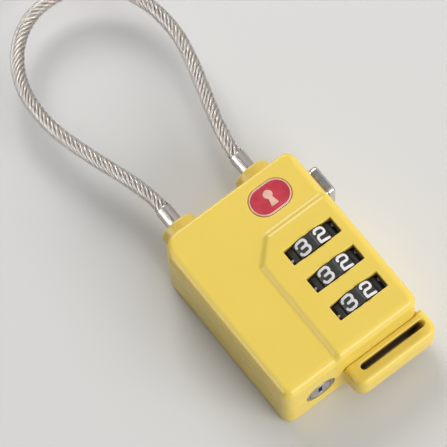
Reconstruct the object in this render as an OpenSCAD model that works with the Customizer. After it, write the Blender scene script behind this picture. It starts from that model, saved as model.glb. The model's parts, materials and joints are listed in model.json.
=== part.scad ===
// Cable luggage lock with three number dials, a push button and an override key cylinder.
// It lies on its back: X runs across the housing, Y towards the cable loop, Z out of the front
// face. The origin is on the housing's flat back face, midway between the ends of the cable.

/* [Housing] */
// Width of the housing
body_w = 32.5; // [32:0.1:33]
// Distance from the origin to the left wall
body_left = 16; // [16:0.1:16.2]
// Length of the housing without its collars and strap tab
body_l = 40.4; // [40:0.1:41]
// Distance from the origin to the bottom wall
body_low = 20; // [20:0.1:20.2]
// Thickness from the back face to the plain front face
body_t = 16; // [16:0.1:16.4]
// Thickness of the outer walls
wall = 1.4; // [1.2:0.1:1.4]
// Corner radius beside the fixed end of the cable
big_corner_r = 4.5; // [3.5:0.1:5]
// Radius of the other three corners
corner_r = 2.2; // [2:0.1:2.6]
// Rounding of the front edges
front_edge_r = 1.8; // [1:0.1:1.9]
// Rounding of the back edges
back_edge_r = 0.8; // [0.4:0.1:1.2]

/* [Dials] */
// Outer radius of a dial
dial_r = 7.25; // [7:0.05:7.3]
// Width of a dial
dial_w = 3.4; // [3:0.1:3.5]
// Distance from one dial to the next
dial_pitch = 7.15; // [7:0.05:7.3]
// Height of the raised panel round the dials
panel_raise = 0.65; // [0.4:0.05:0.8]

/* [Cable] */
// Diameter of the cable over its clear sheath
cable_d = 3; // [2.8:0.1:3]
// Diameter of the ferrule and of the locking plug
plug_d = 3.4; // [3.2:0.1:3.4]
// Height of the collars that the cable ends go into
collar_h = 3.2; // [2.5:0.1:3.5]

/* [Strap tab] */
// Width of the tab
tab_w = 19.6; // [18:0.1:20]
// Length of the tab beyond the housing
tab_l = 5.2; // [5:0.1:6]
// Length of the mouth of the slot for a strap
slot_l = 15.5; // [12:0.5:15.5]
// Width of the slot
slot_w = 1.5; // [1.3:0.1:1.8]

/* [Moving pieces] */
// Travel of the release button
button_travel = 2; // [1.6:0.1:2]
// How far the spindle goes for each millimetre of button travel
ramp_slope = 0.6; // [0.55:0.05:0.6]

/* [Hidden] */

yellow = "khaki";
black = "#1c1c1c";
steel = "silver";
brass = "goldenrod";
zinc = "lightslategray";
badge_red = "crimson";

fine = 96;
coarse = 32;
eps = 0.01;
big = 100;
left = -body_left;
right = body_w - body_left;
top = body_l - body_low;
bottom = -body_low;
floor_z = wall;
ceiling_z = body_t - wall;
arc_steps = 8;
layer_angle = 15;
fit_gap = 0.05;
clear_gap = 0.15;
run_gap = 0.1;

// Housing
split_z = 8;
cable_x = 9.1;
collar_r = 3.9;
collar_edge_r = 0.5;
panel_z = body_t + panel_raise;
panel_left = -3.6;
panel_top = 9.2;
panel_cut = [4.9, 4.9];
panel_bevel = 0.8;
bore_r = plug_d/2 + run_gap;

// Strap tab, whose slot slants at its right end
tab_right = right + 0.9;
tab_z = [3, 9.5];
tab_corner_r = 2.4;
tab_root = 0.9;
slot_y = bottom - 1.95;
slot_right = tab_right - 1.3;
slot_slant = 3;

// Blocks inside the housing
anchor_block = [-12.6, 7];
plug_guide_x = [6.6, 11.3];
plug_guide_low = 14.6;
clip_post = [5.9, 0.9];
clip_post_y = [12.2, 14.7];
slider_guide_x = [-2, 11.2];
slider_guide_y = [11.4, 14];
saddle_x = [-12.2, -3.3];
anchor_slot_x = [-12.1, -6.1];
anchor_slot_z = [3.4, 12.6];

// Dials
dial_x = 7.75;
dial_z = body_t + 1.15 - dial_r;
dial_y = [for (i = [0:2]) 2.2 - i*dial_pitch];
digits = 10;
notch_r = 0.8;
notch_depth = 0.45;
rim_step = 0.25;
rim_w = 0.35;
window_half = 5.75;
window_w = dial_w + 0.25;
sleeve_r = 4.4;
sleeve_l = 5.2;
sleeve_bore_r = 2.3;
flange_t = 0.45;
flange_low = -0.6;
fin_reach = 2.15;
fin_w = 0.8;
fin_t = 0.45;
fin_low = -0.05;
spindle_r = 1.2;
spindle_top = 9.75;
spindle_low = -17;
shoulder_r = 1.95;
shoulder_y = -16.8;
shoulder_t = 0.5;
bay = [[-0.6, right - wall - clear_gap], [bottom + wall + 0.1, 6.5]];

// Detent spring, in its pocket under the dials
leaf_base = 1.5;
leaf_t = 0.2;
finger_w = 1.6;
finger_x = [1.3, 9.6];
finger_z = [1.45, 3.4];
strip_x = [1.5, 2.9];
strip_reach = 3.2;
pocket_gap = 0.2;

// Release button and slider
button_y = 12.7;
button_size = [2.8, 6.7, 7];
button_corner_r = 1;
button_edge_r = 0.45;
flange_lip = 0.7;
slider_w = 2.6;
slider_z = [4.6, 11.4];
slider_left = -2.2;
slider_bar = 1;
slider_end = 3;
window_right = cable_x + plug_d/2 + button_travel + 0.2;
wedge_y = [12.35, 13.05];
wedge_t = 0.7;
ramp_x = [6.4, 11.2];
ramp_z = 9.95;
spring_bar = 4;
spring_bore_r = 1.35;
spring_seat_x = -5.6;
tail_w = 1.2;
tail_z = [7, 10.3];
foot_y = -8.5;
foot_l = 1.4;
tooth_x = -12.45;
tooth_low = 5.6;

// Cable ends
groove_y = [12.2, 13.2];
plug_groove_r = 1.1;
anchor_groove_r = 1.2;
plug_tip_y = 10.9;
plug_cone = 0.8;
ferrule_top = 28.3;
anchor_low = 8.6;
anchor_flange = [2.6, 1.6];

// Key cylinder
key_x = -7.7;
key_z = 6.8;
barrel_r = 3.3;
barrel_y = [bottom + clear_gap, -9.5];
core_r = 2.4;
core_y = [bottom + clear_gap, -9];
wafer_y = [for (i = [0:4]) -17.4 + i*1.6];
wafer_t = 0.6;
wafer_size = [2.2, 4];
keyway = [0.9, 2.8];
cam_y = [-8.9, -7.5];
cam_reach = 3.35;
cam_w = 1.2;
cam_hub_r = 1.3;

// Rivets, one in each free corner of the housing
rivets = [[-12.8, 3], [0.6, 16.7], [-2.3, -16.9]];
rivet_r = 0.9;
rivet_head_r = 1.5;
rivet_head_t = 0.6;
rivet_top = 13;
boss_r = 1.6;

// Badge
badge_at = [7.1, 14.6];
badge_size = [9, 6.2];
badge_t = 0.5;

// Centre line of the cable from the fixed ferrule round to the locking plug. The first half is
// chosen by hand and the second is its mirror image.
cable_half = [
    [-9.1, 28.3, 8], [-9.3, 31, 8], [-10.1, 35, 8], [-11.4, 39.5, 8], [-13, 44.5, 7.9],
    [-14.6, 50, 7.8], [-15.7, 55, 7.7], [-16, 60, 7.5], [-15.4, 65.3, 7.3], [-13.3, 70.6, 7.2],
    [-9.7, 75, 7.1], [-5, 77.8, 7], [0, 78.6, 7]];
cable_route = concat(cable_half,
    [for (i = [len(cable_half) - 2:-1:0]) [-cable_half[i][0], cable_half[i][1], cable_half[i][2]]]);
cable_sides = 8;

// ---- Helpers ----

function arc(c, r, from, steps = arc_steps) =
    [for (i = [0:steps]) c + r*[cos(from + 90*i/steps), sin(from + 90*i/steps)]];

// Points of the housing's outline, drawn in by a distance, anticlockwise from the right
function outline(inset) =
    let (c = corner_r, b = big_corner_r, l = left, r = right, t = top, u = bottom)
    concat(arc([r - c, t - c], c - inset, 0), arc([l + b, t - b], b - inset, 90),
        arc([l + c, u + c], c - inset, 180), arc([r - c, u + c], c - inset, 270));

module along_y(y0, y1) {
    translate([0, y1, 0]) rotate([90, 0, 0]) linear_extrude(y1 - y0) children();
}

module rod_y(x, z, r, y0, y1, fn = fine) {
    translate([x, y1, z]) rotate([90, 0, 0]) cylinder(h = y1 - y0, r = r, $fn = fn);
}

module rod_x(y, z, r, x0, x1, fn = fine) {
    translate([x0, y, z]) rotate([0, 90, 0]) cylinder(h = x1 - x0, r = r, $fn = fn);
}

// A box between two corners, given as one pair of limits for each axis
module span(x, y, z) {
    translate([x[0], y[0], z[0]]) cube([x[1] - x[0], y[1] - y[0], z[1] - z[0]]);
}

// A rectangle with round corners, centred on the origin
module round_rect(w, l, r) {
    polygon(concat(arc([w/2 - r, l/2 - r], r, 0), arc([r - w/2, l/2 - r], r, 90),
        arc([r - w/2, r - l/2], r, 180), arc([w/2 - r, r - l/2], r, 270)));
}

// A coil spring about X from the origin, as a ring for each turn joined by a thin tube wall
module coil(length, r, wire, turns) {
    rotate([0, 90, 0]) {
        for (i = [0:turns - 1])
            translate([0, 0, wire/2 + i*(length - wire)/(turns - 1)])
                rotate_extrude($fn = coarse) translate([r - wire/2, 0]) circle(d = wire, $fn = 16);
        rotate_extrude($fn = coarse) translate([r - wire*0.65, wire/2])
            square([wire*0.3, length - wire]);
    }
}

// ---- Housing ----

module layer(z, inset) {
    translate([0, 0, z]) linear_extrude(eps) polygon(outline(inset));
}

// The rounded block of the housing, up to a front face at the given height
module block(front) {
    hull() {
        for (a = [0:layer_angle:90]) {
            layer(back_edge_r*(1 - sin(a)), back_edge_r*(1 - cos(a)));
            layer(front - eps - front_edge_r*(1 - sin(a)), front_edge_r*(1 - cos(a)));
        }
    }
}

function panel_corners(inset) = [
    [panel_left + inset, bottom - 2], [right + 2, bottom - 2], [right + 2, panel_top - inset],
    [panel_left + panel_cut[0] + inset*0.4, panel_top - inset],
    [panel_left + inset, panel_top - panel_cut[1] - inset*0.4]];

module panel_area() {
    hull() {
        translate([0, 0, body_t - 2]) linear_extrude(2) polygon(panel_corners(0));
        translate([0, 0, panel_z - eps]) linear_extrude(eps) polygon(panel_corners(panel_bevel));
    }
}

module collar(x) {
    translate([x, top - wall, split_z]) rotate([-90, 0, 0]) rotate_extrude($fn = fine) {
        square([collar_r, wall + collar_h - collar_edge_r]);
        square([collar_r - collar_edge_r, wall + collar_h]);
        translate([collar_r - collar_edge_r, wall + collar_h - collar_edge_r])
            circle(r = collar_edge_r, $fn = coarse);
    }
}

// A thin slice of the strap slot, shortened at its right end
module slot_slice(z, cut) {
    translate([slot_right - (slot_l + cut)/2, slot_y, z]) linear_extrude(eps)
        round_rect(slot_l - cut, slot_w, slot_w/2 - eps);
}

module tab() {
    height = tab_z[1] - tab_z[0];
    difference() {
        translate([tab_right - tab_w/2, bottom + (tab_corner_r - tab_l)/2, tab_z[0]])
            linear_extrude(height) round_rect(tab_w, tab_l + tab_corner_r, tab_corner_r);
        hull() {
            slot_slice(tab_z[0] - 2*eps, slot_slant);
            slot_slice(tab_z[1] + eps, 0);
        }
    }
}

module inner_blocks() {
    // Beds of the dials
    span(bay[0], bay[1], [floor_z, ceiling_z]);
    // Block that holds the fixed end of the cable
    span([anchor_block[0], spring_seat_x], [anchor_block[1], top - wall + eps], [floor_z, ceiling_z]);
    // Guide of the locking plug, with the post that carries the catch clip
    span(plug_guide_x, [plug_guide_low, top - wall + eps], [floor_z, ceiling_z]);
    rod_y(clip_post[0], split_z, clip_post[1], clip_post_y[0], clip_post_y[1], coarse);
    span([clip_post[0] - clip_post[1], plug_guide_x[0] + clear_gap],
        [plug_guide_low, plug_guide_low + 1], [split_z - 1, split_z + 1]);
    // Guides below and above the slider
    span(slider_guide_x, slider_guide_y, [floor_z, slider_z[0] - clear_gap]);
    span(slider_guide_x, slider_guide_y, [slider_z[1] + clear_gap, ceiling_z]);
    // Saddle of the key cylinder
    span(saddle_x, [bottom + wall - eps, barrel_y[1]], [floor_z, ceiling_z]);
    // Bosses of the rivets
    for (p = rivets)
        translate([p[0], p[1], floor_z])
            cylinder(h = ceiling_z - floor_z, r = boss_r, $fn = coarse);
}

module inner_voids() {
    for (y = dial_y) {
        for (r = [[dial_r, dial_w/2], [sleeve_r, sleeve_l/2]])
            rod_y(dial_x, dial_z, r[0] + pocket_gap, y - r[1] - pocket_gap, y + r[1] + pocket_gap);
        // Window in the panel and pocket of the detent finger
        span([dial_x - window_half, dial_x + window_half], [y - window_w/2, y + window_w/2],
            [dial_z, panel_z + 1]);
        span(finger_x, [y - finger_w/2 - pocket_gap, y + finger_w/2 + pocket_gap], finger_z);
    }
    span([strip_x[0] - pocket_gap, strip_x[1] + pocket_gap],
        [dial_y[2] - strip_reach - pocket_gap, dial_y[0] + strip_reach + pocket_gap],
        [finger_z[0], leaf_base + leaf_t + pocket_gap]);
    // Spindle and its spring
    rod_y(dial_x, dial_z, spindle_r + run_gap, bottom + wall, 7);
    rod_y(dial_x, dial_z, shoulder_r + 0.2, bottom + wall, shoulder_y + shoulder_t + 0.2);
    // Cable ends
    rod_y(-cable_x, split_z, bore_r, anchor_low - 0.2, top + collar_h + 1);
    rod_y(cable_x, split_z, bore_r, 10, top + collar_h + 1);
    rod_y(-cable_x, split_z, anchor_flange[0] + 0.1, anchor_low - 0.2,
        anchor_low + anchor_flange[1] + 0.2);
    span(anchor_slot_x, [groove_y[0] - run_gap, groove_y[1] + run_gap], anchor_slot_z);
    // Key cylinder
    rod_y(key_x, key_z, barrel_r + fit_gap, bottom - 1, barrel_y[1] + 1);
    // Opening of the release button
    translate([right - wall - 2, button_y, split_z]) rotate([90, 0, 90]) linear_extrude(6)
        round_rect(button_size[1] + 2*run_gap, button_size[2] + 2*run_gap, button_corner_r);
    // Rivets, with heads let into the back
    for (p = rivets) {
        translate([p[0], p[1], -1])
            cylinder(h = rivet_top + 1 + pocket_gap, r = rivet_r + fit_gap, $fn = fine);
        translate([p[0], p[1], -1])
            cylinder(h = 1 + rivet_head_t + fit_gap, r = rivet_head_r + fit_gap, $fn = fine);
    }
    // Seat of the badge
    translate([badge_at[0], badge_at[1], body_t - badge_t]) oval(0.1, 2);
}

module housing() {
    difference() {
        union() {
            difference() {
                union() {
                    block(body_t);
                    intersection() {
                        block(panel_z);
                        panel_area();
                    }
                    collar(-cable_x);
                    collar(cable_x);
                }
                translate([0, 0, wall]) linear_extrude(body_t - 2*wall) polygon(outline(wall));
            }
            inner_blocks();
        }
        inner_voids();
    }
}

// The back shell takes the dial beds up to the dials' axis
module rear_zone(gap) {
    span([-big, big], [-big, big], [-big, split_z]);
    span([bay[0][0] - gap, bay[0][1] + gap], [bay[1][0] - gap, bay[1][1] + gap],
        [0, dial_z + gap/2]);
}

module rear_shell() {
    color(yellow) union() {
        intersection() {
            housing();
            rear_zone(0);
        }
        difference() {
            tab();
            span([-big, big], [bottom + tab_root, big], [-big, big]);
            span([-big, big], [bottom - fit_gap, big], [split_z - eps, big]);
            rod_y(key_x, key_z, barrel_r + fit_gap, bottom - 1, bottom + 1);
        }
    }
}

module front_shell() {
    color(yellow) difference() {
        housing();
        rear_zone(clear_gap);
    }
}

module housing_rivets() {
    color(steel) for (p = rivets) translate([p[0], p[1], 0.05]) {
        cylinder(h = rivet_top, r = rivet_r, $fn = fine);
        cylinder(h = rivet_head_t - 0.05, r = rivet_head_r, $fn = fine);
    }
}

module oval(grow, h) {
    linear_extrude(h) round_rect(badge_size[0] + 2*grow, badge_size[1] + 2*grow,
        badge_size[1]/2 + grow - eps);
}

module badge() {
    color(badge_red) translate([badge_at[0], badge_at[1], body_t - badge_t + eps])
        oval(0, badge_t + 0.05);
}

// ---- Dials ----

module dial(y) {
    color(black) translate([dial_x, y, dial_z]) rotate([90, 0, 0]) difference() {
        union() {
            translate([0, 0, -dial_w/2]) cylinder(h = dial_w, r = dial_r - rim_step, $fn = fine);
            translate([0, 0, rim_w - dial_w/2])
                cylinder(h = dial_w - 2*rim_w, r = dial_r, $fn = fine);
        }
        translate([0, 0, -dial_w]) cylinder(h = 2*dial_w, r = sleeve_r + fit_gap, $fn = fine);
        for (i = [0:digits - 1]) rotate(i*360/digits)
            translate([0, dial_r - notch_depth + notch_r, -dial_w])
                cylinder(h = 2*dial_w, r = notch_r, $fn = coarse);
    }
}

module dial_sleeve(y) {
    color(brass) difference() {
        rod_y(dial_x, dial_z, sleeve_r, y - sleeve_l/2, y + sleeve_l/2);
        rod_y(dial_x, dial_z, sleeve_bore_r, y + flange_low + flange_t, y + sleeve_l);
        rod_y(dial_x, dial_z, sleeve_bore_r, y - sleeve_l, y + flange_low);
        rod_y(dial_x, dial_z, spindle_r + run_gap, y - 1, y + 1);
        // Gate that lets the spindle's fin through
        translate([dial_x - fin_w/2 - 0.15, y - 1, dial_z]) cube([fin_w + 0.3, 2, sleeve_bore_r]);
    }
}

module dial_spindle() {
    color(steel) {
        rod_y(dial_x, dial_z, spindle_r, spindle_low, spindle_top - 1);
        translate([dial_x, spindle_top - 1, dial_z]) rotate([-90, 0, 0])
            cylinder(h = 1, r1 = spindle_r, r2 = 0.2, $fn = fine);
        for (y = dial_y)
            translate([dial_x - fin_w/2, y + fin_low, dial_z]) cube([fin_w, fin_t, fin_reach]);
    }
}

module spindle_clip() {
    color(steel) difference() {
        rod_y(dial_x, dial_z, shoulder_r, shoulder_y, shoulder_y + shoulder_t);
        rod_y(dial_x, dial_z, spindle_r + fit_gap, shoulder_y - 1, shoulder_y + 1);
    }
}

module spindle_spring() {
    low = bottom + wall + 0.02;
    color(steel) translate([dial_x, low, dial_z]) rotate([0, 0, 90])
        coil(shoulder_y - 0.02 - low, 1.8, 0.3, 4);
}

module detent_spring() {
    base = leaf_base;
    color(steel) {
        span(strip_x, [dial_y[2] - strip_reach, dial_y[0] + strip_reach], [base, base + leaf_t]);
        for (y = dial_y) along_y(y - finger_w/2, y + finger_w/2)
            polygon([[2.8, base], [4.5, base + 0.1], [7.1, base + 0.55],
                [7.35, base + 1.25], [dial_x, base + 1.4], [8.15, base + 1.25], [8.4, base + 0.55],
                [9.2, base + 0.35], [9.2, base + 0.15], [8.2, base + 0.35], [7.3, base + 0.35],
                [4.5, base - 0.04], [2.8, base - 0.04]]);
    }
}

// ---- Release ----

module release_button() {
    inner = right - wall - 1.1;
    reach = right + button_size[0] - inner;
    color(steel) translate([inner, button_y, split_z]) rotate([90, 0, 90]) {
        hull() {
            linear_extrude(reach - button_edge_r)
                round_rect(button_size[1], button_size[2], button_corner_r);
            linear_extrude(reach) round_rect(button_size[1] - 2*button_edge_r,
                button_size[2] - 2*button_edge_r, button_corner_r - button_edge_r);
        }
        linear_extrude(0.9) round_rect(button_size[1] + 2*flange_lip,
            button_size[2] + 2*flange_lip, button_corner_r);
    }
}

module latch_slider() {
    z = slider_z;
    y = [button_y - slider_w/2, button_y + slider_w/2];
    x = [slider_left, right - wall - 1.15];
    bar_x = x[0] + slider_end;
    ramp_y = [for (rx = ramp_x) spindle_top + pocket_gap - ramp_slope*(rx - dial_x)];
    wedge_x = window_right + fit_gap;
    color(zinc) difference() {
        union() {
            difference() {
                span(x, y, z);
                // Window for the plug and its catch clip
                span([bar_x, window_right], [-big, big], [z[0] + slider_bar, z[1] - slider_bar]);
            }
            span([x[0], bar_x], [button_y - spring_bar/2, button_y + spring_bar/2], z);
            // Wedge that opens the catch clip
            along_y(wedge_y[0], wedge_y[1]) polygon([[wedge_x, split_z - 1.6],
                [wedge_x - wedge_t, split_z - 0.8], [wedge_x - wedge_t, split_z + 0.8],
                [wedge_x, split_z + 1.6]]);
            // Ramp that drives the spindle
            translate([0, 0, ramp_z]) linear_extrude(z[1] - ramp_z) polygon([
                [ramp_x[0], ramp_y[0]], [ramp_x[1], ramp_y[1]],
                [ramp_x[1], y[0] + 0.5], [ramp_x[0], y[0] + 0.5]]);
            // Tail, foot and tooth that the key cylinder's cam pushes
            span([x[0], x[0] + tail_w], [foot_y, y[0]], tail_z);
            span([tooth_x, x[0] + tail_w], [foot_y, foot_y + foot_l],
                [tail_z[1] - tail_w, tail_z[1]]);
            span([tooth_x, tooth_x + tail_w], [foot_y, foot_y + foot_l], [tooth_low, tail_z[1]]);
        }
        rod_x(button_y, split_z, spring_bore_r, x[0] - 1, x[0] + 2.5);
    }
}

module button_spring() {
    from = spring_seat_x + 0.02;
    color(steel) translate([from, button_y, split_z]) coil(slider_left + 2.48 - from, 1.2, 0.3, 7);
}

module plug_catch_clip() {
    wire = 0.6;
    gap = plug_groove_r + wire/2 + 0.02;
    bend_x = 5.9;
    color(steel) translate([0, button_y, split_z]) {
        for (s = [-1, 1]) translate([0, 0, s*gap]) rod_x(0, 0, wire/2, bend_x, 12, coarse);
        rotate([90, 0, 0]) intersection() {
            translate([bend_x, 0]) rotate_extrude($fn = fine)
                translate([gap, 0]) circle(d = wire, $fn = 16);
            span([bend_x - 3, bend_x + eps], [-3, 3], [-1, 1]);
        }
    }
}

// ---- Cable ----

// A Catmull-Rom curve through the route's points
function spline(a, b, c, d, t) = 0.5*((2*b) + (c - a)*t + (2*a - 5*b + 4*c - d)*t*t
    + (3*b - a - 3*c + d)*t*t*t);
function route_point(i, t) = let (p = cable_route, n = len(p) - 1)
    spline(i > 0 ? p[i - 1] : 2*p[0] - p[1], p[i], p[i + 1],
        i < n - 1 ? p[i + 2] : 2*p[n] - p[n - 1], t);
rings = concat([for (i = [0:len(cable_route) - 2], t = [0, 0.5]) route_point(i, t)],
    [cable_route[len(cable_route) - 1]]);

function unit(v) = v/norm(v);
// The first and the last ring lie flat on the ends of the ferrule and the plug
function heading(i) = i == 0 ? [0, 1, 0] : i == len(rings) - 1 ? [0, -1, 0]
    : unit(rings[i + 1] - rings[i - 1]);
function ring_points(i) =
    let (h = heading(i), side = unit(cross([0, 0, 1], h)), up = cross(h, side))
    [for (k = [0:cable_sides - 1]) let (a = 360*(k + 0.5)/cable_sides)
        rings[i] + cable_d/2*(cos(a)*side + sin(a)*up)];

module cable() {
    n = len(rings);
    s = cable_sides;
    points = [for (i = [0:n - 1]) each ring_points(i)];
    walls = [for (i = [0:n - 2], k = [0:s - 1]) let (j = (k + 1) % s)
        [i*s + k, (i + 1)*s + k, (i + 1)*s + j, i*s + j]];
    ends = [[for (k = [0:s - 1]) k], [for (k = [s - 1:-1:0]) (n - 1)*s + k]];
    color(steel) polyhedron(points, concat(ends, walls));
}

module fixed_ferrule() {
    color(steel) difference() {
        union() {
            rod_y(-cable_x, split_z, plug_d/2, anchor_low, ferrule_top);
            rod_y(-cable_x, split_z, anchor_flange[0], anchor_low, anchor_low + anchor_flange[1]);
        }
        difference() {
            rod_y(-cable_x, split_z, plug_d, groove_y[0], groove_y[1]);
            rod_y(-cable_x, split_z, anchor_groove_r, groove_y[0] - 1, groove_y[1] + 1);
        }
    }
}

module cable_anchor() {
    r = anchor_groove_r + fit_gap;
    color(zinc) difference() {
        span([-12, -6.2], [groove_y[0] + fit_gap, groove_y[1] - fit_gap], [3.5, 12.5]);
        rod_y(-cable_x, split_z, r, groove_y[0] - 1, groove_y[1] + 1);
        span([-cable_x - r, -cable_x + r], [groove_y[0] - 1, groove_y[1] + 1], [split_z, big]);
    }
}

module locking_plug() {
    color(steel) difference() {
        union() {
            rod_y(cable_x, split_z, plug_d/2, plug_tip_y + plug_cone, ferrule_top);
            translate([cable_x, plug_tip_y + plug_cone, split_z]) rotate([90, 0, 0])
                cylinder(h = plug_cone, r1 = plug_d/2, r2 = plug_groove_r, $fn = fine);
        }
        difference() {
            rod_y(cable_x, split_z, plug_d, groove_y[0], groove_y[1]);
            rod_y(cable_x, split_z, plug_groove_r, groove_y[0] - 1, groove_y[1] + 1);
        }
    }
}

// ---- Key cylinder ----

module cylinder_body() {
    color(zinc) difference() {
        rod_y(key_x, key_z, barrel_r, barrel_y[0], barrel_y[1]);
        rod_y(key_x, key_z, core_r + fit_gap, bottom - 1, barrel_y[1] + 1);
    }
}

module cylinder_core() {
    color(brass) difference() {
        union() {
            rod_y(key_x, key_z, core_r, core_y[0], core_y[1]);
            rod_y(key_x, key_z, cam_w/2, core_y[1] - eps, cam_y[1]);
        }
        span([key_x - keyway[0]/2, key_x + keyway[0]/2], [bottom - 1, -10.6],
            [key_z - keyway[1]/2, key_z + keyway[1]/2]);
        for (y = wafer_y)
            span([key_x - wafer_size[0]/2 - fit_gap, key_x + wafer_size[0]/2 + fit_gap],
                [y - fit_gap, y + wafer_t + fit_gap],
                [key_z - wafer_size[1]/2 - fit_gap, key_z + wafer_size[1]/2 + fit_gap]);
    }
}

module cylinder_wafers() {
    color(brass) for (y = wafer_y) difference() {
        span([key_x - wafer_size[0]/2, key_x + wafer_size[0]/2], [y, y + wafer_t],
            [key_z - wafer_size[1]/2, key_z + wafer_size[1]/2]);
        span([key_x - keyway[0]/2, key_x + keyway[0]/2], [y - 1, y + 1],
            [key_z - 1.2, key_z + 1.2]);
    }
}

module cylinder_cam() {
    color(zinc) difference() {
        union() {
            rod_y(key_x, key_z, cam_hub_r, cam_y[0], cam_y[1]);
            span([key_x - cam_w/2, key_x + cam_w/2], [cam_y[0] + 0.2, cam_y[1]],
                [key_z - cam_reach, key_z]);
        }
        rod_y(key_x, key_z, cam_w/2 + fit_gap, cam_y[0] - 1, cam_y[1] + 1);
    }
}

module cam_screw() {
    color(steel) difference() {
        rod_y(key_x, key_z, 1.1, cam_y[1] + 0.02, cam_y[1] + 0.8);
        span([key_x - 0.2, key_x + 0.2], [cam_y[1] + 0.5, cam_y[1] + 1], [key_z - 2, key_z + 2]);
    }
}

front_shell();
rear_shell();
housing_rivets();
badge();
dial(dial_y[0]);  // dial_1
dial(dial_y[1]);  // dial_2
dial(dial_y[2]);  // dial_3
dial_sleeve(dial_y[0]);  // dial_sleeve_1
dial_sleeve(dial_y[1]);  // dial_sleeve_2
dial_sleeve(dial_y[2]);  // dial_sleeve_3
dial_spindle();
spindle_spring();
spindle_clip();
detent_spring();
release_button();
latch_slider();
button_spring();
plug_catch_clip();
cable();
fixed_ferrule();
cable_anchor();
locking_plug();
cylinder_body();
cylinder_core();
cylinder_wafers();
cylinder_cam();
cam_screw();
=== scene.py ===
"""Looks of the cable luggage lock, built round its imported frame.
Shapes are in millimetres until they become meshes."""
import itertools
import json
import math

import bpy
import numpy as np
from mathutils import Matrix, Vector


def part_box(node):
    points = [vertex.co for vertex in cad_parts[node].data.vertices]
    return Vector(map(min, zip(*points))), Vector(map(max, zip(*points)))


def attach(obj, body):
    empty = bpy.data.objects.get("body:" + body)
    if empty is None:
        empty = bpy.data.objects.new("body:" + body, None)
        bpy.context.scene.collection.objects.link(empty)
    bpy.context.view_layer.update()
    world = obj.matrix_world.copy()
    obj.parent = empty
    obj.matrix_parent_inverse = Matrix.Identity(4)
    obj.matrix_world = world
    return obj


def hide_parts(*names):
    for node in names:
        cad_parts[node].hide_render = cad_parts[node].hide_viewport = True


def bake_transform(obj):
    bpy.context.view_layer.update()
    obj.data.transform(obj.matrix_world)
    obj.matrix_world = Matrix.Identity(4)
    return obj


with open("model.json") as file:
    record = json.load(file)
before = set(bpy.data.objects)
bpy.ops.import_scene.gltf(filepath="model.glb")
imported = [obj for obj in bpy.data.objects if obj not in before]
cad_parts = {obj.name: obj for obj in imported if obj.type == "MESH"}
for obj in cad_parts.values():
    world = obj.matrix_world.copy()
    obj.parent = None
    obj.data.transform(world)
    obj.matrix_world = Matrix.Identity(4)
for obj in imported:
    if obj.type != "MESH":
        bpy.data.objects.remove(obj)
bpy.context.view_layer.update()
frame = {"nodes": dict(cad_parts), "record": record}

MM = 0.001
nodes = frame["nodes"]


def corners(node):
    """The lowest and the highest corner of a CAD node, in millimetres."""
    return tuple(np.array(c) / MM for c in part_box(node))


# ---- Sizes, from the frame ----

back_low, back_high = corners("rear_shell")
front_low, front_high = corners("front_shell")
plug_low, plug_high = corners("locking_plug")
anchor_low, anchor_high = corners("fixed_ferrule")
button_low, button_high = corners("release_button")
badge_low, badge_high = corners("badge")
core_low, core_high = corners("cylinder_core")
barrel_low, barrel_high = corners("cylinder_body")
dial_boxes = [corners(f"dial_{n}") for n in (1, 2, 3)]

LEFT, BOTTOM, SPLIT_Z = front_low
RIGHT, COLLAR_Y, PANEL_Z = front_high
TOP = COLLAR_Y - 3.2
BODY_T = PANEL_Z - 0.65
WALL = 1.4
BIG_CORNER = 4.5
CORNER = 2.2
FRONT_EDGE = 1.8
TOP_EDGE = 0.7
BACK_EDGE = 0.8
COLLAR_R = 3.9
COLLAR_EDGE = 0.45
CABLE_X = 9.1
BORE_R = 1.8
PLUG_R = 1.7
PANEL_LEFT = -3.6
PANEL_TOP = 9.2
PANEL_CUT = 4.9
PANEL_BEVEL = 1.1
DIAL_R = (dial_boxes[0][1][2] - dial_boxes[0][0][2]) / 2
DIAL_X = (dial_boxes[0][0][0] + dial_boxes[0][1][0]) / 2
DIAL_Z = dial_boxes[0][1][2] - DIAL_R
DIAL_W = dial_boxes[0][1][1] - dial_boxes[0][0][1]
DIAL_Y = [(low[1] + high[1]) / 2 for low, high in dial_boxes]
DIAL_BORE_R = 4.45
DIGITS = 10
NOTCH_R = 0.8
NOTCH_DEPTH = 0.45
WINDOW_HALF = 5.75
WINDOW_W = DIAL_W + 0.25
TAB_RIGHT = back_high[0]
TAB_LEFT = TAB_RIGHT - 19.6
TAB_LOW = back_low[1]
TAB_Z = (3.0, 9.5)
TAB_CORNER = 2.4
SLOT_X = (TAB_RIGHT - 16.8, TAB_RIGHT - 1.3)
SLOT_Y = BOTTOM - 1.95
SLOT_W = 1.5
SLOT_SLANT = 3.0
KEY_X = (barrel_low[0] + barrel_high[0]) / 2
KEY_Z = (barrel_low[2] + barrel_high[2]) / 2
BARREL_R = (barrel_high[0] - barrel_low[0]) / 2
CORE_R = (core_high[0] - core_low[0]) / 2
KEYWAY = (0.9, 2.8)
RIVETS = [(-12.8, 3.0), (0.6, 16.7), (-2.3, -16.9)]
RIVET_R = 1.5
BADGE_X = (badge_low[0] + badge_high[0]) / 2
BADGE_Y = (badge_low[1] + badge_high[1]) / 2
BADGE_SIZE = (badge_high[0] - badge_low[0], badge_high[1] - badge_low[1])
BUTTON_Y = (button_low[1] + button_high[1]) / 2
BUTTON_W, BUTTON_H = 6.7, 7.0
BUTTON_CAP = 1.7
RIM = 0.22
SEAM_GAP = 0.02
SEAM_EDGE = 0.2
CABLE_D = 3.0

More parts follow.
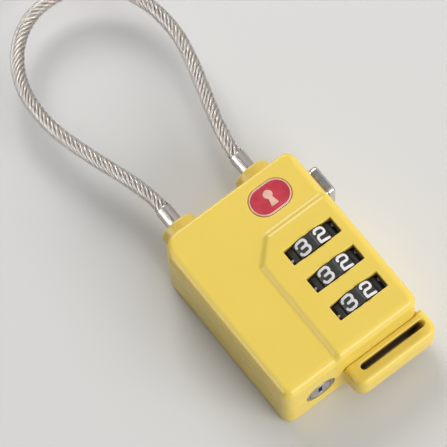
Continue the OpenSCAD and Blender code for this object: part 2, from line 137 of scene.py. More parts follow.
# The cable's centre line, as in the frame's own route: half of it, and its mirror image
CABLE_HALF = [
    (-9.1, 28.3, 8), (-9.3, 31, 8), (-10.1, 35, 8), (-11.4, 39.5, 8), (-13, 44.5, 7.9),
    (-14.6, 50, 7.8), (-15.7, 55, 7.7), (-16, 60, 7.5), (-15.4, 65.3, 7.3), (-13.3, 70.6, 7.2),
    (-9.7, 75, 7.1), (-5, 77.8, 7), (0, 78.6, 7)]


# ---- Camera ----

def make_camera():
    """The camera stands above the lock's lower left and is rolled, so that the loop leans to the left."""
    right = Vector((0.790844, -0.610986, -0.035685)).normalized()
    back = Vector((-0.191505, -0.302415, 0.933739)).normalized()
    up = back.cross(right)
    camera = bpy.data.objects.new("camera", bpy.data.cameras.new("camera"))
    camera.data.sensor_width = 36
    camera.data.lens = 288.44
    camera.data.clip_start = 0.05
    camera.data.clip_end = 10
    camera.matrix_world = Matrix((
        (right.x, up.x, back.x, -0.13584),
        (right.y, up.y, back.y, -0.19343),
        (right.z, up.z, back.z, 0.66228),
        (0, 0, 0, 1)))
    bpy.context.scene.collection.objects.link(camera)
    bpy.context.scene.camera = camera


# ---- Fields: distances to a surface, negative inside ----

def rounded(a, b, r):
    """Where both solids are, with an edge of radius r."""
    u, v = a + r, b + r
    return np.hypot(np.maximum(u, 0), np.maximum(v, 0)) - r + np.minimum(np.maximum(u, v), 0)


def joined(a, b, r):
    """Both solids together, with a fillet of radius r."""
    return -rounded(-a, -b, r)


def without(a, b, r):
    """The first solid less the second, with a rim of radius r."""
    return rounded(a, -b, r)


def slab(v, low, high):
    return np.maximum(low - v, v - high)


def plate(x, y, w, l, r):
    """A rectangle with round corners, centred on the origin."""
    u, v = np.abs(x) - w / 2 + r, np.abs(y) - l / 2 + r
    return np.hypot(np.maximum(u, 0), np.maximum(v, 0)) + np.minimum(np.maximum(u, v), 0) - r


def soft_step(t, k=0.35):
    """From 0 to 1 as t goes from 0 to 1, with the two bends rounded."""
    def lift(s):
        return np.where(s < -k, 0, np.where(s > k, s, (s + k) ** 2 / (4 * k)))
    return lift(t) - lift(t - 1)


def outline(x, y):
    r = np.where((x < 0) & (y > 0), BIG_CORNER, CORNER)
    return plate(x - (LEFT + RIGHT) / 2, y - (BOTTOM + TOP) / 2, RIGHT - LEFT, TOP - BOTTOM, r)


def front_edge(x, y):
    """Radius of the front edge, which is sharper along the cable's side."""
    to_side = np.minimum(x - LEFT, RIGHT - x)
    share = np.clip(0.5 + (to_side - TOP + y) / 4, 0, 1)
    return FRONT_EDGE + (TOP_EDGE - FRONT_EDGE) * share


def front_face(x, y):
    """Height of the front face, which steps up to a panel round the dials."""
    side = PANEL_LEFT - x
    top = y - PANEL_TOP
    slant = (side + top + PANEL_CUT) / math.sqrt(2)
    edge = rounded(rounded(side, slant, 0.5), rounded(top, slant, 0.5), 0.1)
    return BODY_T + (PANEL_Z - BODY_T) * soft_step(-edge / PANEL_BEVEL)


def collar(x, y, z):
    ring = np.hypot(np.abs(x) - CABLE_X, z - SPLIT_Z) - COLLAR_R
    return rounded(rounded(ring, y - COLLAR_Y, COLLAR_EDGE), TOP - WALL - y, 0.1)


def key_hole(x, y, z):
    return rounded(np.hypot(x - KEY_X, z - KEY_Z) - BARREL_R - 0.05, y - BOTTOM - 3, 0.1)


def housing(x, y, z):
    wall = outline(x, y)
    solid = rounded(rounded(wall, z - front_face(x, y), front_edge(x, y)), -z, BACK_EDGE)
    solid = joined(solid, collar(x, y, z), 0.45)
    cavity = rounded(wall + WALL, slab(z, WALL, BODY_T - WALL), 0.6)
    solid = without(solid, cavity, 0.1)
    # Bores of the cable's two ends, and the button's opening
    bore = rounded(np.hypot(np.abs(x) - CABLE_X, z - SPLIT_Z) - BORE_R, TOP - 3 - y, 0.1)
    solid = without(solid, bore, RIM)
    opening = plate(y - BUTTON_Y, z - SPLIT_Z, BUTTON_W + 0.2, BUTTON_H + 0.2, 1.0)
    solid = without(solid, rounded(opening, RIGHT - 3 - x, 0.1), RIM)
    solid = without(solid, key_hole(x, y, z), RIM)
    # The rivets' seats in the back
    for rx, ry in RIVETS:
        seat = rounded(np.hypot(x - rx, y - ry) - RIVET_R - 0.05, z - 0.65, 0.05)
        solid = without(solid, seat, 0.2)
    # Windows, and the slots that the dials turn in
    for dial_y in DIAL_Y:
        window = plate(x - DIAL_X, y - dial_y, 2 * WINDOW_HALF, WINDOW_W, 0.15)
        solid = without(solid, rounded(window, DIAL_Z - z, 0.1), 0.2)
        slot = rounded(np.hypot(x - DIAL_X, z - DIAL_Z) - DIAL_R - 0.2,
                       np.abs(y - dial_y) - DIAL_W / 2 - 0.2, 0.05)
        solid = np.maximum(solid, -slot)
    return solid


def front_shell(x, y, z):
    seat = plate(x - BADGE_X, y - BADGE_Y, BADGE_SIZE[0] + 0.2, BADGE_SIZE[1] + 0.2,
                 BADGE_SIZE[1] / 2)
    solid = without(housing(x, y, z), rounded(seat, badge_low[2] - z, 0.05), 0.2)
    return rounded(solid, SPLIT_Z + SEAM_GAP - z, SEAM_EDGE)


def strap_slot(x, y, z):
    """The slot, whose right end slants in towards the back."""
    depth = (TAB_Z[1] - z) / (TAB_Z[1] - TAB_Z[0])
    right = SLOT_X[1] - SLOT_SLANT * np.clip(depth, 0, 1)
    middle, length = (SLOT_X[0] + right) / 2, right - SLOT_X[0]
    return plate(x - middle, y - SLOT_Y, length, SLOT_W, SLOT_W / 2)


def rear_shell(x, y, z):
    solid = rounded(housing(x, y, z), z - SPLIT_Z + SEAM_GAP, SEAM_EDGE)
    mid_x = (TAB_LEFT + TAB_RIGHT) / 2
    tab = plate(x - mid_x, y - TAB_LOW - 5, TAB_RIGHT - TAB_LEFT, 10, TAB_CORNER)
    tab = rounded(rounded(tab, z - TAB_Z[1], 1.2), TAB_Z[0] - z, 1.2)
    tab = rounded(tab, y - BOTTOM - 0.9, 0.3)
    tab = without(tab, strap_slot(x, y, z), 0.25)
    above = rounded(SPLIT_Z - SEAM_GAP - z, BOTTOM - 0.04 - y, 0.02)
    tab = without(tab, above, 0.3)
    return without(joined(solid, tab, 0.6), key_hole(x, y, z), RIM)


def dial_wheel(x, y, z):
    """A dial centred on the origin, turning about Y."""
    radius = np.hypot(x, z)
    solid = rounded(radius - DIAL_R, np.abs(y) - DIAL_W / 2, 0.22)
    solid = without(solid, radius - DIAL_BORE_R, 0.15)
    turn = 2 * math.pi / DIGITS
    angle = np.mod(np.arctan2(x, z) + turn / 2, turn) - turn / 2
    notch = np.hypot(radius * np.sin(angle),
                     radius * np.cos(angle) - DIAL_R + NOTCH_DEPTH - NOTCH_R) - NOTCH_R
    return without(solid, notch, 0.12)


def button(x, y, z):
    """The push button: a block with rolled edges and a shallow step near the wall."""
    y = y - BUTTON_Y
    z = z - SPLIT_Z
    shaft = rounded(plate(y, z, BUTTON_W - 0.5, BUTTON_H - 0.5, 0.8), x - button_high[0] + 0.3, 0.3)
    cap = rounded(plate(y, z, BUTTON_W, BUTTON_H, 1.0), x - button_high[0], 0.55)
    cap = rounded(cap, button_high[0] - BUTTON_CAP - x, 0.25)
    flange = rounded(plate(y, z, BUTTON_W + 1.4, BUTTON_H + 1.4, 1.0), x - RIGHT + WALL + 0.2, 0.1)
    return rounded(np.minimum(joined(shaft, cap, 0.1), flange), button_low[0] - x, 0.1)


def key_core(x, y, z):
    solid = rounded(np.hypot(x - KEY_X, z - KEY_Z) - CORE_R, slab(y, core_low[1], core_high[1]), 0.15)
    way = rounded(plate(x - KEY_X, z - KEY_Z, KEYWAY[0], KEYWAY[1], 0.15), y + 10.6, 0.1)
    return without(solid, way, 0.1)


def barrel(x, y, z):
    radius = np.hypot(x - KEY_X, z - KEY_Z)
    ring = rounded(radius - BARREL_R, CORE_R + 0.06 - radius, 0.12)
    return rounded(ring, slab(y, barrel_low[1], barrel_high[1]), 0.18)


def oval(x, y, grow):
    w, l = BADGE_SIZE[0] + 2 * grow, BADGE_SIZE[1] + 2 * grow
    return plate(x - BADGE_X, y - BADGE_Y, w, l, l / 2 - 0.01)


# ---- Meshes ----

def slope(field, p, h=0.01):
    """The field's gradient at each point."""
    steps = []
    for k in range(3):
        d = np.zeros(3)
        d[k] = h
        steps.append((field(*(p + d).T) - field(*(p - d).T)) / (2 * h))
    return np.stack(steps, axis=1)


def settle(field, p, reach, rounds=3):
    """Moves points onto the field's surface, each by no more than reach."""
    start = p.copy()
    for _ in range(rounds):
        g = slope(field, p)
        p = p - (field(*p.T) / np.maximum((g * g).sum(1), 0.05))[:, None] * g
        p = start + np.clip(p - start, -reach, reach)
    return p


def surface(field, low, high, step):
    """Points and four-sided faces of the field's surface in a box, one point for each cell it crosses."""
    step = np.broadcast_to(np.array(step, float), 3)
    margin = 1.5
    axes = [np.arange(low[k] - margin * step[k], high[k] + margin * step[k], step[k]) for k in range(3)]
    inside = field(*np.meshgrid(*axes, indexing="ij")) < 0
    n = np.array(inside.shape) - 1
    count = sum(inside[i:i + n[0], j:j + n[1], k:k + n[2]].astype(np.int8)
                for i in (0, 1) for j in (0, 1) for k in (0, 1))
    crossed = (count > 0) & (count < 8)
    number = np.full(crossed.shape, -1)
    number[crossed] = np.arange(crossed.sum())
    at = np.argwhere(crossed)
    points = np.stack([axes[k][at[:, k]] + step[k] / 2 for k in range(3)], axis=1)
    points = settle(field, points, 0.6 * step)
    faces = []
    for k in range(3):
        here = np.take(inside, range(n[k]), axis=k)
        there = np.take(inside, range(1, n[k] + 1), axis=k)
        edge = np.argwhere(here != there)
        facing = here[tuple(edge.T)]
        b, c = (k + 1) % 3, (k + 2) % 3
        ring = []
        for db, dc in ((-1, -1), (0, -1), (0, 0), (-1, 0)):
            cell = edge.copy()
            cell[:, b] += db
            cell[:, c] += dc
            ring.append(number[tuple(cell.T)])
        quads = np.stack(ring, axis=1)
        faces.append(np.where(facing[:, None], quads, quads[:, ::-1]))
    return points, np.concatenate(faces)


def mesh_piece(name, points, faces, material):
    """A smooth object of points in millimetres and faces."""
    mesh = bpy.data.meshes.new(name)
    faces = faces.tolist() if isinstance(faces, np.ndarray) else faces
    mesh.from_pydata((np.asarray(points) * MM).tolist(), [], faces)
    mesh.validate()
    mesh.shade_smooth()
    mesh.materials.append(material)
    piece = bpy.data.objects.new(name, mesh)
    bpy.context.scene.collection.objects.link(piece)
    return piece


def thinned(piece, ratio):
    """Drops points where the surface is flat, keeping that share of the faces."""
    modifier = piece.modifiers.new("thin", "DECIMATE")
    modifier.ratio = ratio
    graph = bpy.context.evaluated_depsgraph_get()
    mesh = bpy.data.meshes.new_from_object(piece.evaluated_get(graph))
    piece.modifiers.clear()
    old, piece.data = piece.data, mesh
    bpy.data.meshes.remove(old)
    mesh.name = piece.name


def field_piece(name, field, low, high, step, material, keep=0.35, shaded_by=None):
    """An object of a field's surface, shaded by the field's own slope. Its gaps get painted shade, a darker
    colour, if shaded_by is given, a field of everything that may stand near the surface."""
    points, faces = surface(field, low, high, step)
    piece = mesh_piece(name, points, faces, material)
    if keep < 1:
        thinned(piece, keep)
    mesh = piece.data
    p = np.zeros(len(mesh.vertices) * 3)
    mesh.vertices.foreach_get("co", p)
    p = settle(field, p.reshape(-1, 3) / MM, 0.1 * np.min(step), rounds=1)
    mesh.vertices.foreach_set("co", (p * MM).ravel())
    mesh.shade_smooth()
    at, normals = corner_normals(field, mesh, p, np.min(step))
    mesh.normals_split_custom_set(normals.tolist())
    # The openness is the mask by which the material paints shade into the colour of the gaps
    if shaded_by:
        share = mesh.attributes.new("openness", "FLOAT", "CORNER")
        share.data.foreach_set("value", openness(shaded_by, at, normals))
    return piece


def openness(field, at, normals, reach=2.2):
    """How open the surface is at each point, from 0 deep in a gap to 1 where nothing stands within reach."""
    seen, most = np.zeros(len(at)), np.zeros(len(at))
    for heading in itertools.product((-1, 0, 1), repeat=3):
        if any(heading):
            d = np.array(heading) / math.hypot(*heading)
            rise = np.maximum(normals @ d, 0)
            clear = np.clip(field(*(at + reach * d).T) / np.maximum(reach * rise, 0.1), 0, 1)
            seen += rise * clear
            most += rise
    return seen / most


def corner_normals(field, mesh, p, step):
    """Points just inside each corner of each face, and the field's slope there. Flat faces so stay flat up to
    their edges."""
    vertex = np.zeros(len(mesh.loops), int)
    mesh.loops.foreach_get("vertex_index", vertex)
    count = np.zeros(len(mesh.polygons), int)
    mesh.polygons.foreach_get("loop_total", count)
    face = np.repeat(np.arange(len(count)), count)
    middle = np.stack([np.bincount(face, p[vertex, k]) for k in range(3)], axis=1) / count[:, None]
    inward = middle[face] - p[vertex]
    far = np.linalg.norm(inward, axis=1)[:, None]
    at = p[vertex] + inward * np.minimum(0.25, 0.8 * step / np.maximum(far, 1e-9))
    at = settle(field, at, step, rounds=1)
    normal = slope(field, at)
    return at, normal / np.maximum(np.linalg.norm(normal, axis=1), 1e-9)[:, None]


def turned(name, profile, centre, material, sides=96):
    """A solid turned about Y from (radius, y) points, closed at both ends."""
    angle = 2 * math.pi * np.arange(sides) / sides
    rings = [np.stack([centre[0] + r * np.sin(angle), np.full(sides, y), centre[1] + r * np.cos(angle)],
                      axis=1) for r, y in profile]
    faces = [[i * sides + k, i * sides + (k + 1) % sides, (i + 1) * sides + (k + 1) % sides,
              (i + 1) * sides + k] for i in range(len(profile) - 1) for k in range(sides)]
    last = (len(profile) - 1) * sides
    faces += [list(range(sides))[::-1], list(range(last, last + sides))]
    return mesh_piece(name, np.concatenate(rings), faces, material)


# ---- Materials ----

class Finish:
    """A procedural material: one Principled shader and the nodes that feed it."""

    def __init__(self, name, **values):
        self.material = bpy.data.materials.new(name)
        self.material.use_nodes = True
        self.tree = self.material.node_tree
        self.shader = next(n for n in self.tree.nodes if n.type == "BSDF_PRINCIPLED")
        self.coords = self.tree.nodes.new("ShaderNodeTexCoord")
        for socket, value in values.items():
            self.shader.inputs[socket.replace("_", " ")].default_value = value

    def link(self, a, b):
        self.tree.links.new(a, b)

    def noise(self, scale, detail=4.0, stretch=(1, 1, 1)):
        """A noise value over the object, with scale in features for each metre."""
        mapping = self.tree.nodes.new("ShaderNodeMapping")
        mapping.inputs["Scale"].default_value = stretch
        self.link(self.coords.outputs["Object"], mapping.inputs["Vector"])
        node = self.tree.nodes.new("ShaderNodeTexNoise")
        node.inputs["Scale"].default_value = scale
        node.inputs["Detail"].default_value = detail
        self.link(mapping.outputs["Vector"], node.inputs["Vector"])
        return node.outputs["Fac"]

    def ramp(self, value, stops):
        node = self.tree.nodes.new("ShaderNodeValToRGB")
        for element, (at, colour) in zip(node.color_ramp.elements, (stops[0], stops[-1])):
            element.position, element.color = at, colour
        for at, colour in stops[1:-1]:
            node.color_ramp.elements.new(at).color = colour
        self.link(value, node.inputs["Fac"])
        return node.outputs["Color"]

    def colour(self, value, low, high):
        """Base colour between two colours."""
        self.link(self.ramp(value, [(0.3, (*low, 1)), (0.7, (*high, 1))]), self.shader.inputs["Base Color"])

    def roughness(self, value, low, high):
        node = self.tree.nodes.new("ShaderNodeMapRange")
        node.inputs["From Min"].default_value = 0.3
        node.inputs["From Max"].default_value = 0.7
        node.inputs["To Min"].default_value = low
        node.inputs["To Max"].default_value = high
        self.link(value, node.inputs["Value"])
        self.link(node.outputs["Result"], self.shader.inputs["Roughness"])

    def paint_gap_shade(self, tint, rough):
        """Paints shade into the colour already set, darkening it where the mesh's openness is low, and dulls
        the roughness already set there.
        """
        openness_value = self.tree.nodes.new("ShaderNodeAttribute")
        openness_value.attribute_name = "openness"
        share = self.tree.nodes.new("ShaderNodeMapRange")
        share.inputs["From Min"].default_value = 0.04
        share.inputs["From Max"].default_value = 0.40
        self.link(openness_value.outputs["Fac"], share.inputs["Value"])
        # The colour is mixed towards painted shade, a dark brown, and the roughness towards a rougher value
        for socket, gap_shade_and_roughness in (("Base Color", (*tint, 1)), ("Roughness", (rough, rough, rough, 1))):
            mix = self.tree.nodes.new("ShaderNodeMix")
            mix.data_type = "RGBA"
            mix.inputs[6].default_value = gap_shade_and_roughness
            source = self.shader.inputs[socket].links[0].from_socket
            self.link(share.outputs["Result"], mix.inputs[0])
            self.link(source, mix.inputs[7])
            self.link(mix.outputs[2], self.shader.inputs[socket])

    def bump(self, value, height):
        """Raises the surface by up to height, in metres."""
        node = self.tree.nodes.new("ShaderNodeBump")
        node.inputs["Strength"].default_value = 1
        node.inputs["Distance"].default_value = height
        self.link(value, node.inputs["Height"])
        self.link(node.outputs["Normal"], self.shader.inputs["Normal"])


def make_materials():
    made = {}
    f = Finish("yellow_plastic", Subsurface_Weight=0.08, Subsurface_Scale=0.0008,
               Subsurface_Radius=(1.0, 0.6, 0.15))
    f.colour(f.noise(90, 1), (0.822, 0.613, 0.103), (0.834, 0.621, 0.108))
    f.roughness(f.noise(120, 1), 0.285, 0.315)
    # Painted shade: the yellow turns dark brown in gaps and slots, where the openness is low
    f.paint_gap_shade((0.10, 0.045, 0.008), 0.8)
    made["yellow"] = f.material

    f = Finish("black_plastic")
    f.colour(f.noise(900, 6), (0.018, 0.018, 0.018), (0.032, 0.031, 0.029))
    f.roughness(f.noise(1600, 4), 0.30, 0.48)
    f.bump(f.noise(5000, 3), 0.00001)
    made["black"] = f.material

    f = Finish("white_print", Specular_IOR_Level=0.35)
    f.colour(f.noise(1800, 4), (0.70, 0.69, 0.70), (0.82, 0.80, 0.82))
    f.roughness(f.noise(2500, 2), 0.42, 0.58)
    made["white"] = f.material

    f = Finish("red_enamel", Coat_Weight=0.6, Coat_Roughness=0.06)
    f.colour(f.noise(350, 3), (0.48, 0.022, 0.045), (0.60, 0.045, 0.075))
    f.roughness(f.noise(700, 2), 0.18, 0.28)
    made["red"] = f.material

    f = Finish("pale_enamel", Coat_Weight=0.4, Coat_Roughness=0.1)
    f.colour(f.noise(600, 3), (0.74, 0.42, 0.33), (0.82, 0.52, 0.42))
    f.roughness(f.noise(900, 2), 0.25, 0.38)
    made["pale"] = f.material

    for name, tint, low, high, stretch in (
            ("chrome", (0.62, 0.60, 0.61), 0.07, 0.14, (0.1, 1, 1)),
            ("plated", (0.52, 0.48, 0.45), 0.26, 0.36, (1, 0.1, 1)),
            ("steel", (0.56, 0.56, 0.57), 0.25, 0.38, (1, 0.2, 1)),
            ("brass", (0.70, 0.50, 0.22), 0.24, 0.36, (1, 0.2, 1)),
            ("zinc", (0.42, 0.42, 0.44), 0.38, 0.52, (1, 1, 1)),
            ("nickel", (0.58, 0.57, 0.62), 0.30, 0.42, (1, 1, 1)),
            ("wire", (0.78, 0.74, 0.70), 0.28, 0.42, (1, 1, 1))):
        f = Finish(name, Metallic=1.0)
        dark = tuple(0.86 * c for c in tint)
        f.colour(f.noise(1200, 5, stretch), dark, tint)
        f.roughness(f.noise(2600, 4, stretch), low, high)
        f.bump(f.noise(4000, 3, stretch), 0.000004)
        made[name] = f.material

    f = Finish("clear_sheath", Transmission_Weight=1.0, IOR=1.42)
    f.colour(f.noise(300, 3), (0.90, 0.89, 0.89), (0.96, 0.95, 0.95))
    f.roughness(f.noise(500, 3), 0.04, 0.12)
    f.bump(f.noise(260, 2), 0.00001)
    made["clear"] = f.material
    return made


# ---- Cable ----

def smooth_route(points, per_span):
    """Points along a Catmull-Rom curve through the given ones."""
    p = np.array(points, float)
    p = np.vstack([2 * p[0] - p[1], p, 2 * p[-1] - p[-2]])
    made = []
    for i in range(1, len(p) - 2):
        a, b, c, d = p[i - 1:i + 3]
        for t in np.arange(per_span) / per_span:
            made.append(0.5 * (2 * b + (c - a) * t + (2 * a - 5 * b + 4 * c - d) * t * t
                               + (3 * b - a - 3 * c + d) * t ** 3))
    return np.array(made + [p[-2]])


def even(points, step):
    """The same line with points about step apart, and the distance along it at each."""
    along = np.concatenate([[0], np.cumsum(np.linalg.norm(np.diff(points, axis=0), axis=1))])
    at = np.linspace(0, along[-1], math.ceil(along[-1] / step) + 1)
    return np.stack([np.interp(at, along, points[:, k]) for k in range(3)], axis=1), at


def side_axes(line):
    """Two directions square to the line at each of its points, for a line that lies nearly flat."""
    heading = np.gradient(line, axis=0)
    heading /= np.linalg.norm(heading, axis=1)[:, None]
    side = np.cross(np.array([0, 0, 1.0]), heading)
    side /= np.linalg.norm(side, axis=1)[:, None]
    return side, np.cross(heading, side)


def tube(line, around):
    """Points and faces of a closed tube: around(i) gives the offsets of ring i from the line."""
    rings = [line[i] + around(i) for i in range(len(line))]
    sides = len(rings[0])
    faces = [[i * sides + k, i * sides + (k + 1) % sides, (i + 1) * sides + (k + 1) % sides,
              (i + 1) * sides + k] for i in range(len(line) - 1) for k in range(sides)]
    last = (len(line) - 1) * sides
    faces += [list(range(sides))[::-1], list(range(last, last + sides))]
    return np.concatenate(rings), faces


def make_cable(materials):
    """Six strands of six wires laid round a core, inside a clear sheath."""
    route = smooth_route(CABLE_HALF + [(-x, y, z) for x, y, z in CABLE_HALF[-2::-1]], 24)
    line, along = even(route, 0.3)
    side, up = side_axes(line)
    strand_lay, wire_lay = 7.5, 4.0
    strands, wires = 6, 6
    lay_r, strand_r, core_r = 0.64, 0.33, 0.45
    sides = 24
    points, faces = [], []
    total = 0
    for s in range(strands):
        turn = 2 * math.pi * (along / strand_lay + s / strands)
        centre = line + lay_r * (np.cos(turn)[:, None] * side + np.sin(turn)[:, None] * up)
        a = 2 * math.pi * np.arange(sides) / sides

        def ring(i):
            lobes = np.abs(np.cos(wires / 2 * (a + 2 * math.pi * along[i] / wire_lay)))
            r = strand_r * (0.86 + 0.14 * lobes)
            return (r * np.cos(a))[:, None] * side[i] + (r * np.sin(a))[:, None] * up[i]
        p, f = tube(centre, ring)
        points.append(p)
        faces += [[total + k for k in face] for face in f]
        total += len(p)
    a = 2 * math.pi * np.arange(24) / 24
    p, f = tube(line, lambda i: core_r * (np.cos(a)[:, None] * side[i] + np.sin(a)[:, None] * up[i]))
    faces += [[total + k for k in face] for face in f]
    strands_piece = mesh_piece("cable_strands", np.concatenate(points + [p]), faces, materials["wire"])

    sheath_line, _ = even(route, 0.8)
    sheath_side, sheath_up = side_axes(sheath_line)
    sheath_r = CABLE_D / 2 - 0.02
    p, f = tube(sheath_line, lambda i: sheath_r * (np.cos(a)[:, None] * sheath_side[i]
                                                   + np.sin(a)[:, None] * sheath_up[i]))
    sheath = mesh_piece("cable_sheath", p, f, materials["clear"])

    for piece in (strands_piece, sheath):
        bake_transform(piece)
    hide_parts("cable")


# ---- Pieces ----

def make_shells(materials):
    def with_dials(x, y, z):
        ends = np.min([np.abs(y - dial_y) for dial_y in DIAL_Y], axis=0) - DIAL_W / 2
        dials = rounded(np.hypot(x - DIAL_X, z - DIAL_Z) - DIAL_R, ends, 0.1)
        return np.minimum(front_shell(x, y, z), dials)

    # Both covers get painted shade in their gaps and slots, from how open they are to everything round them
    front = field_piece("front_cover", front_shell, front_low, front_high, 0.2,
                        materials["yellow"], shaded_by=with_dials)
    rear = field_piece("rear_cover", rear_shell, back_low, (TAB_RIGHT, COLLAR_Y, TAB_Z[1]), 0.2,
                       materials["yellow"], shaded_by=rear_shell)
    for piece, node in ((front, "front_shell"), (rear, "rear_shell")):
        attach(piece, "housing")
        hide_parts(node)


def make_badge(materials):
    """A red oval plate with a pale rim and a plain keyhole in its middle."""
    top = badge_high[2]

    def base(x, y, z):
        solid = rounded(rounded(oval(x, y, 0), z - top, 0.15), badge_low[2] - z, 0.05)
        return np.maximum(solid, -rounded(oval(x, y, -0.3), top - 0.14 - z, 0.02))

    def hole(x, y, grow):
        u, v = x - BADGE_X, y - BADGE_Y
        head = np.hypot(u, v - 0.75) - 0.95
        leg = rounded(np.abs(u) - 0.36 - 0.22 * (0.4 - v), slab(v, -1.75, 0.6), 0.15)
        return np.minimum(head, leg) - grow

    def enamel(x, y, z):
        field = rounded(oval(x, y, -0.34), slab(z, top - 0.3, top - 0.06), 0.06)
        return np.maximum(field, -hole(x, y, 0.05))

    def symbol(x, y, z):
        return rounded(hole(x, y, 0), slab(z, top - 0.3, top - 0.02), 0.05)

    plate_piece = field_piece("badge_plate", base, badge_low, badge_high, (0.12, 0.12, 0.08),
                              materials["pale"])
    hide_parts("badge")
    field_box = (badge_low, badge_high, (0.12, 0.12, 0.06))
    pieces = [plate_piece, field_piece("badge_enamel", enamel, *field_box, materials["red"]),
              field_piece("badge_symbol", symbol, *field_box, materials["pale"])]
    for piece in pieces:
        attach(piece, "housing")


def arc(cx, cy, r, start, stop):
    """Points on an arc, with angles in degrees from the right."""
    a = np.radians(np.linspace(start, stop, 9))
    return [(cx + r * math.cos(t), cy + r * math.sin(t)) for t in a]


def ring_path(low, high, half, r):
    """A closed rectangle with round corners between two heights."""
    return (arc(half - r, high - r, r, 0, 90) + arc(r - half, high - r, r, 90, 180)
            + arc(r - half, low + r, r, 180, 270) + arc(half - r, low + r, r, 270, 360)
            + [(half, high - r)])


def figure_paths():
    """The strokes of each figure from 0 to 9, as lines of points, in millimetres."""
    w, h, r = 1.10, 1.36, 0.68
    six = [ring_path(-h, 0.16, w, 0.6),
           [(-w, -h + r)] + arc(r - w, h - r, r, 180, 90) + arc(w - r, h - r, r, 90, 15)]
    return [
        [ring_path(-h, h, w, 0.8)],
        [[(-0.62, 0.72), (0.12, h), (0.12, -h)]],
        [arc(r - w, h - r, r, 175, 90) + arc(w - r, h - r, r, 90, -90)
         + arc(r - w, -r, r, 90, 180) + [(-w, -h), (w, -h)]],
        [arc(r - w, h - r, r, 175, 90) + arc(w - r, h - r, r, 90, -90) + [(-0.25, 0)],
         [(0.1, 0)] + arc(w - r, r - h, r, 90, -90) + arc(r - w, r - h, r, 270, 185)],
        [[(0.42, -h), (0.42, h), (-w, -0.5), (w, -0.5)]],
        [[(w, h), (-w, h), (-w, 0.2)] + arc(w - 0.73, 0.2 - 0.73, 0.73, 90, -90)
         + arc(0.73 - w, 0.73 - h, 0.73, 270, 190)],
        six,
        [[(-w, h), (w, h), (-0.25, -h)]],
        [ring_path(-h, 0, w, r), ring_path(0, h, w * 0.92, r)],
        [[(-u, -v) for u, v in path] for path in six]]


def stroke_field(paths, x, y):
    """Distance to a figure's strokes."""
    best = np.full(np.broadcast(x, y).shape, 1e3)
    for path in paths:
        for (ax, ay), (bx, by) in zip(path, path[1:]):
            dx, dy = bx - ax, by - ay
            t = np.clip(((x - ax) * dx + (y - ay) * dy) / max(dx * dx + dy * dy, 1e-12), 0, 1)
            best = np.minimum(best, np.hypot(x - ax - t * dx, y - ay - t * dy))
    return best


def make_dials(materials):
    """Three wheels, with raised figures that run down as they go to the right."""
    stroke = 0.29
    first_angle, step_angle = math.radians(18), 2 * math.pi / DIGITS
    points, faces = [], []
    total = 0
    for digit, paths in enumerate(figure_paths()):
        def figure(x, y, z):
            return rounded(stroke_field(paths, x, y) - stroke, np.abs(z) - 0.05, 0.02)
        p, f = surface(figure, (-1.45, -1.7, -0.06), (1.45, 1.7, 0.06), (0.085, 0.085, 0.05))
        angle = first_angle + (2 - digit) * step_angle + p[:, 0] / DIAL_R
        reach = DIAL_R + p[:, 2] - 0.01
        points.append(np.stack([reach * np.sin(angle), p[:, 1], reach * np.cos(angle)], axis=1))
        faces.append(f + total)
        total += len(p)
    points, faces = np.concatenate(points), np.concatenate(faces)
    reach = (DIAL_R, DIAL_W / 2, DIAL_R)
    wheel = field_piece("wheel", dial_wheel, tuple(-r for r in reach), reach, 0.14,
                        materials["black"], keep=0.5)
    for n, (dial_y, body) in enumerate(zip(DIAL_Y, ("first_dial", "second_dial", "third_dial")), 1):
        piece = wheel.copy()
        piece.name = f"dial_wheel_{n}"
        piece.data = wheel.data.copy()
        figures = mesh_piece(f"dial_figures_{n}", points, faces, materials["white"])
        for part in (piece, figures):
            part.location = Vector((DIAL_X, dial_y, DIAL_Z)) * MM
        bpy.context.scene.collection.objects.link(piece)
        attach(piece, body)
        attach(figures, body)
        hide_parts(f"dial_{n}")
    bpy.data.objects.remove(wheel)


def ferrule_profile(low, high, details):
    """(radius, y) points of a ferrule from its inner end to its rounded mouth."""
    mouth = [(PLUG_R - 0.25 + 0.25 * math.cos(t), high - 0.25 + 0.25 * math.sin(t))
             for t in np.radians(np.linspace(0, 90, 7))]
    return (details + [(PLUG_R, high - 1.6), (PLUG_R, high - 0.26)] + mouth
            + [(1.25, high), (1.2, high - 0.5)])


def make_ferrules(materials):
    groove = (12.2, 13.2)
    anchor = ferrule_profile(anchor_low[1], anchor_high[1], [
        (2.45, anchor_low[1]), (2.6, anchor_low[1] + 0.15), (2.6, anchor_low[1] + 1.45),
        (2.45, anchor_low[1] + 1.6), (PLUG_R, anchor_low[1] + 1.62), (PLUG_R, groove[0]),
        (1.2, groove[0] + 0.02), (1.2, groove[1] - 0.02), (PLUG_R, groove[1])])
    plug = ferrule_profile(plug_low[1], plug_high[1], [
        (1.0, plug_low[1]), (1.1, plug_low[1] + 0.05), (PLUG_R - 0.05, plug_low[1] + 0.75),
        (PLUG_R, plug_low[1] + 0.85), (PLUG_R, groove[0] - 0.02), (1.1, groove[0]),
        (1.1, groove[1]), (PLUG_R - 0.06, groove[1] + 0.02), (PLUG_R, groove[1] + 0.1)])
    for name, profile, x, body, node in (
            ("fixed_end", anchor, -CABLE_X, "housing", "fixed_ferrule"),
            ("plug_end", plug, CABLE_X, "plug", "locking_plug")):
        piece = turned(name, profile, (x, SPLIT_Z), materials["plated"])
        piece.data.set_sharp_from_angle(angle=math.radians(35))
        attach(piece, body)
        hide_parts(node)


def make_metal(materials):
    """The push button and the key cylinder."""
    for name, field, node, step, finish, body, slot in (
            ("push_button", button, "release_button", 0.09, "chrome", "button", "chrome"),
            ("key_cylinder_core", key_core, "cylinder_core", 0.13, "nickel", "key_core", "cylinder"),
            ("key_cylinder_barrel", barrel, "cylinder_body", 0.15, "zinc", "housing", "zinc")):
        low, high = corners(node)
        piece = field_piece(name, field, low, high, step, materials[finish])
        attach(piece, body)
        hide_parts(node)


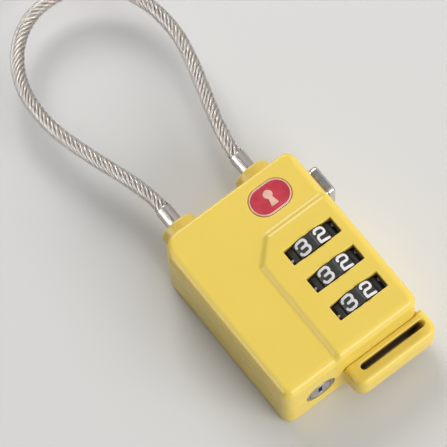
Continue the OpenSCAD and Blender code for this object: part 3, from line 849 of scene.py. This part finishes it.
def finish_inner_nodes(materials):
    """Gives each CAD node that stays the finish of its record slot."""
    by_slot = {"steel": "steel", "brass": "brass", "zinc": "zinc", "chrome": "chrome",
               "cylinder": "nickel", "cable": "wire", "housing": "yellow", "badge": "red", "dial": "black"}
    slots = {s["node"]: s["material_slot"] for s in frame["record"]["subparts"]}
    for name, node in nodes.items():
        node.data.materials.clear()
        node.data.materials.append(materials[by_slot[slots[name]]])


# ---- Stage ----

def area_light(name, at, size, power, colour=(1, 1, 1), diffuse=True):
    light = bpy.data.objects.new(name, bpy.data.lights.new(name, "AREA"))
    light.data.shape = "RECTANGLE"
    light.data.size, light.data.size_y = size
    light.data.energy = power
    light.data.color = colour
    light.location = at
    light.rotation_mode = "QUATERNION"
    light.rotation_quaternion = (Vector((0, 0.01, 0)) - Vector(at)).to_track_quat("-Z", "Y")
    light.visible_diffuse = diffuse
    bpy.context.scene.collection.objects.link(light)


def make_room():
    """Soft light all round, brighter towards the lower right and above than towards the upper left."""
    world = bpy.data.worlds.new("soft_room")
    world.use_nodes = True
    tree = world.node_tree
    background = next(n for n in tree.nodes if n.type == "BACKGROUND")
    coords = tree.nodes.new("ShaderNodeTexCoord")
    facing = tree.nodes.new("ShaderNodeVectorMath")
    facing.operation = "DOT_PRODUCT"
    facing.inputs[1].default_value = Vector((0.80, -0.50, 0.35)).normalized()
    share = tree.nodes.new("ShaderNodeMapRange")
    share.inputs["From Min"].default_value = -1
    ramp = tree.nodes.new("ShaderNodeValToRGB")
    ramp.color_ramp.interpolation = "EASE"
    low, high = ramp.color_ramp.elements
    low.position, low.color = 0.55, (0.15, 0.15, 0.16, 1)
    high.position, high.color = 0.85, (0.75, 0.75, 0.74, 1)
    tree.links.new(coords.outputs["Generated"], facing.inputs[0])
    tree.links.new(facing.outputs["Value"], share.inputs["Value"])
    tree.links.new(share.outputs["Result"], ramp.inputs["Fac"])
    tree.links.new(ramp.outputs["Color"], background.inputs["Color"])
    bpy.context.scene.world = world


def make_stage():
    reach = 3000
    edge = [(-reach, -reach, 0), (reach, -reach, 0), (reach, reach, 0), (-reach, reach, 0)]
    floor = mesh_piece("floor", edge, [[0, 1, 2, 3]], bpy.data.materials.new("pale_floor"))
    floor.data.materials[0].use_nodes = True
    shader = next(n for n in floor.data.materials[0].node_tree.nodes if n.type == "BSDF_PRINCIPLED")
    shader.inputs["Base Color"].default_value = (0.66, 0.66, 0.66, 1)
    shader.inputs["Roughness"].default_value = 0.7
    area_light("key", (0.16, 0.60, 0.50), (0.46, 0.36), 3.9, (1.0, 0.985, 0.95))
    area_light("front", (0.20, -0.66, 0.38), (0.66, 0.34), 4.0, (1.0, 0.985, 0.95))
    area_light("edge", (-0.58, 0.18, 0.30), (0.46, 0.40), 2.4, diffuse=False)
    area_light("line", (-0.28, 0.23, 0.66), (0.05, 0.40), 0.35, diffuse=False)
    bpy.context.scene.view_settings.view_transform = "Standard"


make_camera()
materials = make_materials()
make_cable(materials)
finish_inner_nodes(materials)
make_shells(materials)
make_badge(materials)
make_dials(materials)
make_ferrules(materials)
make_metal(materials)
make_room()
make_stage()
